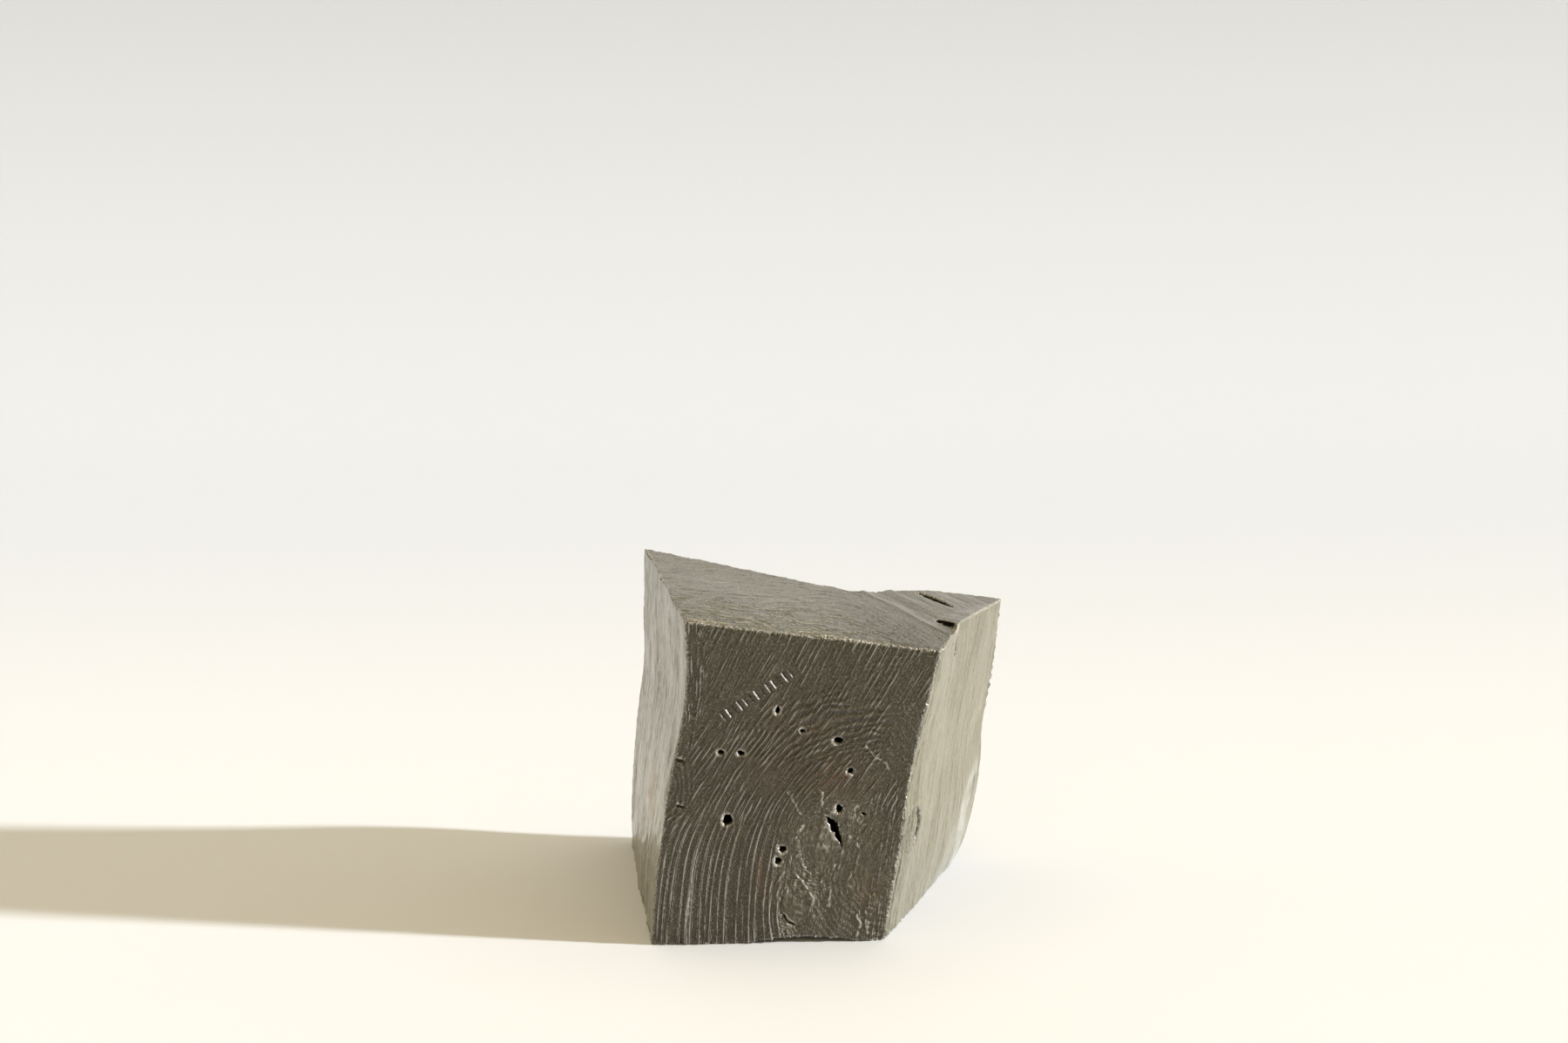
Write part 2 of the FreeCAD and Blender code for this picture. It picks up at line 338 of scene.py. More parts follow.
def segment_distance(x, z, start, end):
    """Distance of points from a line segment."""
    run = np.array(end) - np.array(start)
    t = ((x - start[0]) * run[0] + (z - start[1]) * run[1]) / (run @ run)
    t = np.clip(t, 0, 1)
    return np.hypot(x - start[0] - t * run[0], z - start[1] - t * run[1])


def thread_relief(x, z):
    """Raised threads of hard grain."""
    height = np.zeros_like(x)
    wobble_x = 0.45 * noise(x / 1.5, z / 1.5, 8)
    wobble_z = 0.30 * noise(x / 1.1, z / 1.1, 9)
    for points, width, rise in THREADS:
        distance = np.full_like(x, 99.0)
        for start, end in zip(points, points[1:]):
            found = segment_distance(x + wobble_x, z + wobble_z, start, end)
            distance = np.minimum(distance, found)
        height = np.maximum(height, rise * np.exp(-((distance / width) ** 2)))
    return height * (0.75 + 0.5 * noise(x / 0.9, z / 0.9, 10))


def nick_relief(x, z):
    """Row of plain pressed nicks with a burr on their left side."""
    start, end = np.array(NICK_START), np.array(NICK_END)
    along = (end - start) / np.linalg.norm(end - start)
    upright = np.array([-along[1], along[0]])
    height = np.zeros_like(x)
    for index in range(NICK_COUNT):
        centre = start + (end - start) * index / (NICK_COUNT - 1)
        low, high = centre - upright * NICK_LENGTH / 2, centre + upright * NICK_LENGTH / 2
        strength = 0.75 + 0.4 * math.sin(index * 2.4)
        height -= 0.20 * np.exp(-((segment_distance(x, z, low, high) / 0.20) ** 2))
        burr = along * -0.36
        distance = segment_distance(x, z, low + burr, high + burr * 1.3)
        height += 0.34 * strength * np.exp(-((distance / 0.17) ** 2))
    return height


def slit_share(x, z):
    """1 in the two slits near the left edge, 0 away from them."""
    share = np.zeros_like(x)
    for cx, cz in SLITS:
        slanted = z - cz + 0.35 * (x - cx)
        share = np.maximum(share, np.exp(-(((x - cx) / 1.0) ** 2 + (slanted / 0.32) ** 2)))
    return share


def slit_relief(x, z):
    """The slits, each with a raised lip above it and to its left."""
    return 0.35 * slit_share(x + 0.3, z - 0.55) - 0.6 * slit_share(x, z)


def knot_relief(x, z):
    """Rings inside and round the knots; each knot is a shallow lumpy dish."""
    height = np.zeros_like(x)
    for index, node in enumerate(FRONT_KNOTS):
        radius = knot_distance(x, z, node)
        size = (KNOTS[node][2] + KNOTS[node][3]) / 2
        inside = smooth(1.25, 0.85, radius)
        wobble = 0.22 * noise(x / 2.2, z / 2.2, 11 + index)
        rings = crest((radius + wobble) * size)
        lumps = 0.22 * noise(x / 2.6, z / 2.6, 14 + index) + 0.09 * noise(x / 1.0, z / 1.0, 18 + index)
        height += inside * (0.05 * rings - 0.16 * smooth(0.2, 1.0, radius) + lumps)
        turn = np.arctan2(z - KNOTS[node][1], x - KNOTS[node][0]) * size
        arcs = hairs((radius + 0.5 * wobble) * size, turn, 0.72, 1.6, 15 + index, 0.15)
        height += 0.15 * arcs * smooth(2.2, 1.5, radius) * smooth(0.7, 1.1, radius)
    return height


def parenthesis_relief(x, z):
    """Nested upright arcs to the left of the lower knot."""
    cx, cz = KNOTS["lower_knot"][:2]
    radius = np.hypot(x - cx, (z - cz + 2.0) * 0.55)
    angle_share = smooth(-0.1, -0.7, (x - cx) / (radius + 0.1))
    band = smooth(3.2, 4.0, radius) * smooth(8.6, 7.2, radius) * angle_share
    frayed = hairs(0.8 * x - 0.6 * z, 0.6 * x + 0.8 * z, 0.75, 2.0, 36, 0.2)
    return band * (0.16 * crest(radius / 0.85) ** 4 + 0.18 * frayed * smooth(7, 3, z))


def front_masks(x, z, outline):
    """Where each kind of grain shows on the front face."""
    masks = {}
    edge_wander = 1.6 * noise(x / 5, z / 5, 35)
    masks["ridged"] = smooth(36, 24, z + edge_wander) * smooth(-8.5, -13.0, x + edge_wander)
    cluster = np.hypot((x - 3.5) / 15.0, (z - 15.0) / 21.0)
    masks["calm"] = smooth(1.12, 0.80, cluster + 0.05 * edge_wander)
    masks["upper"] = smooth(22, 34, z + edge_wander) * (1 - masks["calm"])
    masks["column"] = smooth(6.0, 2.5, x - outline.left(z)) * smooth(42, 50, z)
    masks["dark"] = smooth(1.15, 0.75, np.hypot((x + 19.5) / 9.0, (z - 66) / 6.5))
    masks["banded"] = smooth(1.25, 0.45, np.hypot(x / 18.0, (z - 50.0) / 11.0))
    right = outline.right(z) - x
    masks["hatch"] = smooth(10, 6, right) * smooth(38, 43, z) * smooth(64, 54, z)
    masks["right_strip"] = smooth(7, 3, right) * smooth(42, 36, z)
    left = x - outline.left(z)
    swirl = np.hypot(left / 6.0, (z - 37) / 9.0)
    masks["swirl"] = smooth(1.2, 0.7, swirl)
    return masks


def ridged_relief(across, along):
    """Long upright ridges with finer lines between them, low on the left."""
    phase = across / RIDGE_STEP + 0.60 * noise(across / 1.9, along / 60, 23)
    number = np.floor(phase + 0.5)
    size = 0.62 + 0.50 * noise(number * 5.1, along / 12, 24) + 0.35 * noise(across / 1.2, along / 4, 18)
    height = 0.15 * (crest(phase) - 0.5) + 0.22 * size * crest(phase + 0.05) ** 14
    height += 0.24 * hairs(across + 0.4, along, 0.52, 8.0, 25, 0.35, 5)
    return height + 0.05 * fibres(across, along, 0.35, 4, 19)


def dashed_relief(x, z, across, along, masks):
    """Leaning strokes of the upper grain, crossed by growth rings."""
    patchy = 0.65 + 0.45 * noise(x / 6.5, z / 6.5, 27)
    height = 0.28 * patchy * hairs(across, along, 0.58, 2.6, 26, 0.25)
    height += 0.34 * patchy * hairs(across + 0.3, along, 1.30, 4.5, 37, 0.25, 7)
    height += 0.09 * fibres(across, along, 0.34, 1.8, 38)
    rings = crest(ring_phase(x, z))
    height += masks["banded"] * 0.20 * (rings - 0.5)
    return height + (1 - masks["banded"]) * 0.03 * (rings - 0.5)


def edge_relief(x, z, outline, masks):
    """Rougher grain along the left and right limits of the front face."""
    left, right = x - outline.left(z), outline.right(z) - x
    height = masks["column"] * 0.26 * hairs(left + 0.5 * noise(x / 2, z / 3, 39), z, 0.62, 2.4, 29, 0.25)
    height += masks["column"] * 0.12 * noise(x / 0.8, z / 1.6, 40)
    hatch_across, hatch_along = 0.87 * x + 0.50 * z, 0.50 * x - 0.87 * z
    bent = hatch_across + 0.5 * noise(x / 2.5, z / 2.5, 17)
    height += masks["hatch"] * 0.19 * hairs(bent, hatch_along, 0.8, 2.0, 30, 0.10, 6)
    height += masks["right_strip"] * 0.20 * hairs(right, z, 0.62, 6.0, 31, 0.2)
    swirl = np.hypot(left + 1.0, (z - 37) * 0.62) + 0.5 * noise(x / 2, z / 2, 32)
    return height + masks["swirl"] * 0.22 * (crest(swirl / 1.15) ** 2 - 0.4)


def front_relief(x, z, outline):
    """Height of the sawn front face over its plane, and the fine part of it alone."""
    across, along = front_grain(x, z)
    masks = front_masks(x, z, outline)
    broad = 0.30 * layered(x / 14, z / 20, 21)
    broad = broad + 0.22 * masks["calm"] * layered(x / 3.6, z / 4.2, 22)
    fine = masks["ridged"] * ridged_relief(across, along)
    upper = masks["upper"] * (1 - 0.50 * masks["dark"]) * (1 - masks["swirl"])
    upper = upper * (1 - 0.8 * masks["column"]) * (1 - 0.6 * masks["hatch"])
    fine += upper * dashed_relief(x, z, across, along, masks)
    fine += masks["dark"] * 0.17 * hairs(across, along, 0.7, 3.5, 28, 0.2)
    fine += edge_relief(x, z, outline, masks)
    fine += masks["calm"] * 0.10 * (crest(ring_phase(x, z) * 1.1) - 0.5)
    fine += masks["calm"] * 0.07 * noise(x / 0.9, z / 0.9, 33)
    fine += masks["calm"] * 0.12 * hairs(across, along, 1.1, 2.6, 34, -0.1)
    for node in FRONT_KNOTS:
        fine *= 1 - 0.75 * smooth(1.15, 0.85, knot_distance(x, z, node))
    fine *= 1 - 0.85 * smooth(2.2, 1.3, segment_distance(x, z, NICK_START, NICK_END))
    fine += thread_relief(x, z) + nick_relief(x, z) + parenthesis_relief(x, z) + slit_relief(x, z)
    return broad + fine, fine


# ---------------------------------------------------------------- the other faces
RIGHT_FACING = (0.9, -0.43, 0.0)    # the way the split right side faces


def top_grain(x, y):
    """Across and along coordinates of the grain on the top."""
    turn = smooth(4.0, 26.0, x + 0.35 * (y + 20.0))
    level = (y - 0.10 * x) + 1.2 * noise(x / 16, y / 11, 41)
    slanted = 0.60 * y + 0.80 * x + 0.5 * noise(x / 9, y / 9, 42)
    return level * (1 - turn) + slanted * turn, x * (1 - turn) + (0.6 * x - 0.8 * y) * turn


def top_relief(x, y):
    """Height of the sawn top over its plane, and the fine part of it alone."""
    across, along = top_grain(x, y)
    crease = (x - 11.5) * 0.83 + (y - 2.7) * 0.56 + 0.5 * noise(x / 5, y / 5, 46)
    torn = smooth(-0.5, 2.0, crease)
    near_front = smooth(FRONT_Y + 30, FRONT_Y + 4, y)
    broad = 0.25 * layered(x / 18, y / 14, 43)
    broad -= torn * 0.35 * np.exp(-(((crease - 4.0) / 2.6) ** 2))
    broad += torn * 0.12 * noise(crease / 3.0, along / 14, 47) * smooth(0, 3, crease)
    broad += 0.22 * np.exp(-((crease / 0.8) ** 2))
    fine = (0.07 + 0.10 * near_front) * fibres(across, along, 0.42, 2.6, 44)
    fine += (0.12 + 0.16 * near_front) * (1 - torn) * hairs(across, along, 0.80, 4.0, 48, 0.1)
    fine += 0.07 * torn * fibres(across, along, 0.6, 8.0, 49)
    fine += 0.07 * near_front * noise(x / 0.6, y / 0.6, 45)
    return broad + fine, fine


def wall_relief(u, z, seed, rough):
    """Height of a split side over its loft, and the fine part of it alone."""
    across, along = wall_grain(u, z, seed)
    broad = 0.45 * layered(across / 8, z / 30, seed + 2) + 0.25 * noise(u / 16, z / 13, seed + 3)
    broad = broad + 0.35 * noise(u / 4.5, z / 9, seed + 9)
    patchy = 0.55 + 0.45 * noise(u / 9, z / 14, seed + 10)
    fine = 0.16 * fibres(across, along, 0.8, 7, seed + 4)
    fine += 0.20 * patchy * hairs(across, along, 1.1, 9, seed + 8)
    fine += 0.14 * patchy * fibres(across, along, 2.4, 16, seed + 5)
    fine -= 0.45 * smooth(0.9, 1.1, rough) * hairs(across + 2.0, along, 7.5, 24, seed + 11, -0.1, 60)
    fine += 0.07 * noise(u / 0.7, z / 1.3, seed + 6)
    slanted = z * 0.8 + u * 0.55 + 3.0 * noise(u / 8, z / 8, seed + 7)
    low = smooth(28, 10, z) * (0.5 + 0.5 * noise(u / 6, z / 6, seed + 12))
    fine += low * 0.14 * (crest(slanted / 3.1) - 0.4)
    return rough * (broad + fine), rough * fine


def wall_grain(u, z, seed):
    """Across and along coordinates of the grain on a split side."""
    bend = 1.6 * noise(z / 19, u / 40, seed) + 0.5 * noise(z / 7, u / 12, seed + 1)
    return u + bend, z


def face_shares(normals):
    """How much each vertex belongs to each side of the block."""
    directions = {
        "front": (0, -1, 0), "top": (0.13, -0.05, 0.99), "bottom": (0, 0, -1),
        "left": (-1, 0, 0), "right": RIGHT_FACING, "back": (0, 1, 0),
    }
    shares = {k: smooth(0.45, 0.80, normals @ np.array(v)) for k, v in directions.items()}
    total = sum(shares.values()) + 1e-6
    return {k: v / total for k, v in shares.items()}


def buried(points, normals, mesh):
    """True for vertices inside a hole, crack or socket, where the surface faces itself."""
    tree = BVHTree.FromPolygons(
        [Vector(p) for p in points], [tuple(f.vertices) for f in mesh.polygons]
    )
    hidden = np.zeros(len(points), bool)
    near_front = points[:, 1] < FRONT_Y + 22
    right_half = points[:, 0] > 18
    for index in np.nonzero(near_front | right_half)[0]:
        normal = Vector(normals[index])
        start = Vector(points[index]) + normal * 0.05
        hidden[index] = tree.ray_cast(start, normal, 5.0)[0] is not None
    return hidden


def nearest(points, chosen, asked, far=9.0):
    """Distance and direction from each asked vertex to the nearest chosen one."""
    distance = np.full(len(points), far)
    direction = np.zeros((len(points), 3))
    tree = KDTree(int(chosen.sum()))
    for index in np.nonzero(chosen)[0]:
        tree.insert(Vector(points[index]), int(index))
    tree.balance()
    for index in np.nonzero(asked)[0]:
        found, _, gap = tree.find(Vector(points[index]))
        distance[index] = gap
        direction[index] = (np.array(found) - points[index]) / (gap + 1e-6)
    return distance, direction


# ---------------------------------------------------------------- pressing the relief in
CRACK_LIP_GLINT = (32.2, -17.2, 69.6)     # painted glint on the torn lip where the front crack meets the right side
CRACK_TEAR = 0.35           # how far each wall of a drying crack is torn back
CRACK_HEIGHT = 64.0         # the drying cracks are above this
CRACK_END = 31.2            # x where the front crack comes out on the right side
SIDE_JOINT_START = 26.0     # openings with a greater x belong to the side knot's joint
EDGE_GLINT_WIDTH = 0.55           # how far from an edge the painted glint reaches
CHIP_REACH = 1.0            # how far from an edge its chips reach

# Where a joint gapes: from and to, in degrees from the sideways axis, how jagged it is and
# how far the knot shrinks there, and how far it swells elsewhere, so that the joint closes.
JOINT_GAPES = {
    "large_knot": (10, 60, 0.40, 0.15, 1.0), "lower_knot": (203, 252, 0.15, 0.15, 0.6),
    "small_knot": (200, 201, 0.0, 0.0, 0.6), "side_knot": (-30, 66, 0.30, 1.5, 0.6),
}
SIDE_HALF = 4.15            # half the side knot's mouth, measured along Y
JOINT_DIP = 0.05            # how far a knot's rim dips, so that it slips under the face


def on_edges(normals, hidden):
    """True for vertices on the outer edges between two sides of the block."""
    directions = np.array([
        (0, -1, 0), (0.13, -0.05, 0.99), (0, 0, -1), (-1, 0, 0.05), (0.9, -0.43, -0.1), (0, 1, 0),
    ])
    directions /= np.linalg.norm(directions, axis=1)[:, None]
    facing = (normals @ directions.T).max(axis=1)
    return (facing < 0.88) & ~hidden & (normals[:, 1] < 0.2)


def organic_shift(points, outline):
    """Sideways drift of the front face's inner features, so that no hole or knot is a true oval."""
    x, y, z = points.T
    room = smooth(1.0, 5.0, outline.inside(x, z)) * smooth(FRONT_Y + 24, FRONT_Y + 14, y)
    drift_x = 0.50 * noise(x / 4.3, z / 4.3, 51) + 0.14 * noise(x / 1.5, z / 1.5, 52)
    drift_z = 0.50 * noise(x / 4.3, z / 4.3, 53) + 0.14 * noise(x / 1.5, z / 1.5, 54)
    return np.stack([room * drift_x, np.zeros_like(x), room * drift_z], axis=1)


def side_knot_relief(y, z):
    """Rings of the knot in the right face, as height over the wall."""
    _, centre_y, centre_z, half_y, half_z = mouth_of("side_knot")
    radius = np.hypot((y - centre_y) / half_y, (z - centre_z) / half_z)
    inside = smooth(1.2, 0.9, radius)
    return inside * (0.06 * crest(radius * 4.5 + 0.3 * noise(y / 2, z / 2, 55)) - 0.15 * radius)


def relief(points, shift, normals, outline):
    """Total and fine height of the relief at every vertex, blended over the block's sides."""
    x, y, z = (points + shift).T
    share = face_shares(normals)
    knots = knot_relief(points[:, 0], points[:, 2])
    front_total, front_fine = front_relief(x, z, outline)
    right_total, right_fine = wall_relief(y, z, 81, 0.5 + 0.7 * smooth(-24, -31, y))
    right_knot = side_knot_relief(y, z)
    sides = {
        "front": (front_total + knots, front_fine + knots),
        "top": top_relief(x, y),
        "left": wall_relief(y, z, 61, 0.7),
        "right": (right_total + right_knot, right_fine + right_knot),
        "back": wall_relief(x, z, 101, 1.2),
        "bottom": (0.04 * noise(x / 9, y / 9, 121), 0.02 * fibres(y, x, 0.8, 12, 122)),
    }
    total = sum(share[k] * sides[k][0] for k in sides)
    fine = sum(share[k] * sides[k][1] for k in sides)
    return total, fine


def chipped(points, distance):
    """How much is broken away near the outer edges."""
    x, y, z = points.T
    near = np.clip(1 - distance / CHIP_REACH, 0, 1) ** 1.5
    teeth = noise(x / 0.40, z / 0.6, 71, y / 0.6)
    chunks = np.maximum(noise(x / 2.6, z / 2.6, 72, y / 2.6) - 0.30, 0)
    corner = smooth(3.2, 2.4, z) * smooth(10.5, 12.0, x) * smooth(FRONT_Y + 3, FRONT_Y + 1, y)
    crumbs = corner * (0.25 + 0.35 * noise(x / 0.8, z / 0.8, 73, y / 0.8))
    calmer = 0.05 + 0.95 * smooth(-8, -24, y)
    return near * calmer * (0.12 + 0.30 * teeth + 0.8 * chunks) + crumbs


def away_from_joints(x, z):
    """0 along the joint round each front knot, 1 elsewhere."""
    share = np.ones_like(x)
    for node in FRONT_KNOTS:
        share *= smooth(0.15, 0.40, np.abs(knot_distance(x, z, node) - 1.0))
    return share


def lip_height(gap, direction, points):
    """Raised burr round the mouths of holes and cracks, higher on their left."""
    leftness = 0.45 + 0.55 * smooth(-0.2, 0.8, direction[:, 0])
    ring = np.exp(-(((gap - 0.25) / 0.38) ** 2))
    on_front = smooth(FRONT_Y + 1.0, FRONT_Y + 0.3, points[:, 1])
    return 0.36 * ring * leftness * on_front * away_from_joints(points[:, 0], points[:, 2])


def crack_tear(points, hidden, depth):
    """How far the walls of the drying cracks in the top are torn back."""
    x, _, z = points.T
    in_crack = hidden & (z > CRACK_HEIGHT)
    return CRACK_TEAR * in_crack * smooth(9, 4, depth) * smooth(32, 30, x)


def rim_glint_share(points, burr):
    """Painted highlights on the burrs left of the front's openings, and a painted glint on the torn lip
    of the front crack.
    """
    x, y, z = points.T
    burr = burr * away_from_joints(x, z) * (y < FRONT_Y + 2)
    lip_gap = np.linalg.norm(points - np.array(CRACK_LIP_GLINT), axis=1)
    return np.maximum(burr, 1.2 * np.exp(-((lip_gap / 1.25) ** 2)))


def pit_shade_rate(x, z):
    """How fast the painted shade deepens with depth: fast in cracks and the side joint, slow at the lip.
    """
    high = np.where(x < CRACK_END, 3.0, 0.3)
    low = np.where(x > SIDE_JOINT_START, 4.0, 1.0)
    return np.where(z > 60, high, low)


def rust_share(x, z):
    """Where brown streaks show on the front: (x, z, half width, half height, strength)."""
    stains = ((-15.2, 15, 1.6, 7.5, 1.0), (-11.6, 12, 1.2, 6.0, 0.6), (1.5, 40, 8.0, 5.0, 0.8),
              (-6.0, 47, 13.0, 10.0, 0.5), (9.0, 12, 4.0, 7.0, 0.45), (-22, 30, 5.0, 5.0, 0.4))
    share = np.zeros_like(x)
    for cx, cz, half_x, half_z, strength in stains:
        spot = np.exp(-(((x - cx) / half_x) ** 2 + ((z - cz) / half_z) ** 2))
        share = np.maximum(share, strength * spot)
    return share


def warm_share(y, z):
    """Where the left side is a warmer brown: (y, z, half width, half height)."""
    spots = ((-22, 33, 6, 2.5), (-14, 27, 9, 4), (-6, 31, 4, 6), (-4, 22, 9, 4))
    return sum(np.exp(-(((y - cy) / hy) ** 2 + ((z - cz) / hz) ** 2)) for cy, cz, hy, hz in spots)


def side_looks(points, normals):
    """Shares of warm brown on the left side, of painted reflection on the right side's fracture strip
    and of painted sheen low on the right side.
    """
    x, y, z = points.T
    share = face_shares(normals)
    warm = share["left"] * warm_share(y, z)
    strip_x = np.interp(z, (0, 13, 21, 27), (35, 37, 38.3, 40.8)) + 0.5 * noise(z / 2.5, y / 3, 57)
    strip = smooth(1.9, 0.7, np.abs(x - strip_x)) * (0.8 + 0.2 * noise(z / 5.0, y / 3, 58))
    strip *= 0.75 + 0.35 * noise(y / 0.7, z / 4.0, 59)
    gleam = smooth(0.3, 0.8, share["right"] + share["back"]) * strip * smooth(30, 22, z)
    # painted sheen, lighter low on the right side
    sheen = 0.28 * share["right"] * smooth(34, 4, z) * smooth(-14, 12, y)
    return warm, np.maximum(gleam * (y > 4), sheen)


def store_looks(mesh, points, normals, outline, looks):
    """Keeps what the materials read: grain coordinates, height, stains, and the painted glints, sheen
    and shade.
    """
    x, y, z = points.T
    flat = np.zeros_like(x)
    across, along = front_grain(x, z)
    store(mesh, "front_grain", np.stack([across, along, flat], axis=1))
    across, along = top_grain(x, y)
    store(mesh, "top_grain", np.stack([across, along, flat], axis=1))
    side = np.where(normals[:, 1] > 0.6, x, y)
    across, along = wall_grain(side, z, 61)
    store(mesh, "wall_grain", np.stack([across, along, x * 0.2], axis=1))
    masks = front_masks(x, z, outline)
    on_front = smooth(0.3, 0.7, -normals[:, 1])
    looks["calm"] = masks["calm"] * on_front
    bands = smooth(0.60, 0.25, crest(ring_phase(x, z)))
    looks["bands"] = bands * masks["upper"] * (0.12 + 0.88 * masks["banded"]) * on_front
    looks["rust"] = rust_share(x, z) * on_front
    # painted shade in the two slits
    looks["depth"] = looks["depth"] + 2.0 * slit_share(x, z) * on_front
    looks["warm"], looks["gleam"] = side_looks(points, normals)
    for name, values in looks.items():
        store(mesh, name, values)


def assign_materials(mesh, normals, materials):
    """Gives every face the material of the side it belongs to: front, top or wall."""
    for material in materials:
        mesh.materials.append(material)
    share = face_shares(normals)
    kind = np.full(len(normals), 2)
    kind[share["top"] > 0.5] = 1
    kind[share["front"] > 0.5] = 0
    corners = np.empty(len(mesh.loops), np.int32)
    mesh.loops.foreach_get("vertex_index", corners)
    starts = np.empty(len(mesh.polygons), np.int32)
    mesh.polygons.foreach_get("loop_start", starts)
    mesh.polygons.foreach_set("material_index", kind[corners[starts]].astype(np.int32))


def finish_piece(mesh, name, node):
    """Scales the mesh to metres and puts it in the node's place."""
    mesh.transform(Matrix.Scale(1 / MM, 4))
    mesh.update()
    piece = bpy.data.objects.new(name, mesh)
    bpy.context.scene.collection.objects.link(piece)
    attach(piece, "root")
    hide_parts(node)


def build_block(materials):
    """The block: remeshed, shifted, pressed with relief and chipped. Returns its outline."""
    mesh = voxel_mesh("ink_block", BLOCK_VOXEL)
    without_islands(mesh)
    split_near_front(mesh)
    points, normals = places(mesh)
    outline = Outline(points)
    hidden = buried(points, normals, mesh)
    everywhere = np.ones(len(points), bool)
    edge = nearest(points, on_edges(normals, hidden), everywhere)[0]
    x, y, z = points.T
    near_mouths = (y < FRONT_Y + 1.5) | ((x > 18) & (z > 66))
    gap, towards = nearest(points, hidden, ~hidden & near_mouths)
    depth = nearest(points, ~hidden, hidden, 0.0)[0]
    facing = normals.copy()
    facing[hidden & (y < FRONT_Y + 3)] = (0, -1, 0)
    shift = organic_shift(points, outline)
    total, fine = relief(points, shift, facing, outline)
    open_share = np.where(hidden, smooth(0.5, 0.0, depth), 1.0)
    lip = lip_height(gap, towards, points) * ~hidden
    press = (total - chipped(points, edge)) * open_share + lip - crack_tear(points, hidden, depth)
    moved = points + shift + normals * press[:, None]
    moved[:, 2] = np.maximum(moved[:, 2], 0.0)
    # painted highlight on the rims of openings, strongest on the side that faces the low light from the
    # right
    leftness = np.where(hidden, normals[:, 0], towards[:, 0])
    rim_glint = np.where(hidden, smooth(0.9, 0.2, depth), np.exp(-((gap / 0.35) ** 2)))
    looks = {
        "fine": fine * open_share + lip,
        # painted highlight along the outer edges
        "edge_glint": np.clip(1 - edge / EDGE_GLINT_WIDTH, 0, 1),
        "rim_glint": rim_glint_share(points, rim_glint * smooth(-0.1, 0.5, leftness)),
        # painted shade that deepens with depth in holes and cracks
        "depth": depth * pit_shade_rate(x, z),
    }
    store_looks(mesh, points + shift, normals, outline, looks)
    assign_materials(mesh, normals, materials)
    move_to(mesh, moved)
    finish_piece(mesh, "block", "ink_block")
    return outline


def mouth_of(node):
    """Sideways axis of a knot's mouth, with its centre and half sizes along that axis and Z."""
    low, high = (in_millimetres(c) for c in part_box(node))
    centre_z, half_z = (low[2] + high[2]) / 2, (high[2] - low[2]) / 2
    if node == "side_knot":
        return 1, low[1] + SIDE_HALF, centre_z, SIDE_HALF, half_z
    return 0, (low[0] + high[0]) / 2, centre_z, (high[0] - low[0]) / 2, half_z


def joint_swell(points, node, depth, outward):
    """Swelling of a knot along its face: enough to close its joint, but not where it gapes."""
    axis, centre_u, centre_z, half_u, half_z = mouth_of(node)
    u = (points[:, axis] - centre_u) / half_u
    v = (points[:, 2] - centre_z) / half_z
    first, last, jagged, shrink, swelling = JOINT_GAPES[node]
    turn = (np.degrees(np.arctan2(v, u)) - first + 30) % 360
    span = last - first
    gape = smooth(16, 34, turn) * smooth(span + 44, span + 26, turn)
    ragged = jagged * noise(points[:, axis] / 0.9, points[:, 2] / 0.9, 56)
    radius = np.hypot(u, v)
    swell = (1 - gape) * swelling + gape * (ragged - shrink)
    swell = swell * smooth(0.70, 0.95, radius) * smooth(2.5, 0.5, depth)
    sideways = np.zeros_like(points)
    sideways[:, axis] = u * half_u
    sideways[:, 2] = v * half_z
    sideways -= (sideways @ outward)[:, None] * outward
    sideways /= np.linalg.norm(sideways, axis=1)[:, None] + 1e-6
    # painted highlight on the lit rim of a front knot's gaping joint
    lit = 0.5 * gape * smooth(0.80, 0.95, radius) * smooth(1.2, 0.2, depth) * (axis == 0)
    return sideways * swell[:, None], lit


def build_knot(node, outline, materials):
    """One knot, pressed with the same relief as the face round it and swollen to fill its socket."""
    mesh = voxel_mesh(node, KNOT_VOXEL)
    points, normals = places(mesh)
    on_side = node == "side_knot"
    outward = np.array(RIGHT_FACING if on_side else (0.0, -1.0, 0.0))
    outward = outward / np.linalg.norm(outward)
    facing = np.tile(outward, (len(points), 1))
    outer = normals @ outward > 0.75
    depth = nearest(points, outer, ~outer, 0.0)[0]
    sideways, lit = joint_swell(points, node, depth, outward)
    swollen = points + sideways
    shift = np.zeros_like(points) if on_side else organic_shift(swollen, outline)
    total, fine = relief(swollen, shift, facing, outline)
    press = total * smooth(0.8, 0.3, depth) - JOINT_DIP * smooth(0.25, 0.0, depth) * ~outer
    moved = swollen + shift + outward * press[:, None]
    # painted shade, five times deeper in the side knot's joint
    darker = depth * (5.0 if on_side else 1.0)
    looks = {"fine": fine * outer, "depth": darker, "edge_glint": np.zeros(len(points)), "rim_glint": lit}
    store_looks(mesh, swollen + shift, facing, outline, looks)
    assign_materials(mesh, normals, materials)
    move_to(mesh, moved)
    finish_piece(mesh, node + "_plug", node)


# ---------------------------------------------------------------- materials
def add(tree, kind, inputs=None, **settings):
    """Adds a shader node, sets its settings, and fills its inputs with numbers or links."""
    node = tree.nodes.new(kind)
    for name, value in settings.items():
        setattr(node, name, value)
    for name, value in (inputs or {}).items():
        if isinstance(value, bpy.types.NodeSocket):
            tree.links.new(value, node.inputs[name])
        else:
            node.inputs[name].default_value = value
    return node


def math_node(tree, operation, first, second=0.0):
    """Result of one operation on numbers or links."""
    node = add(tree, "ShaderNodeMath", {0: first, 1: second}, operation=operation)
    return node.outputs[0]


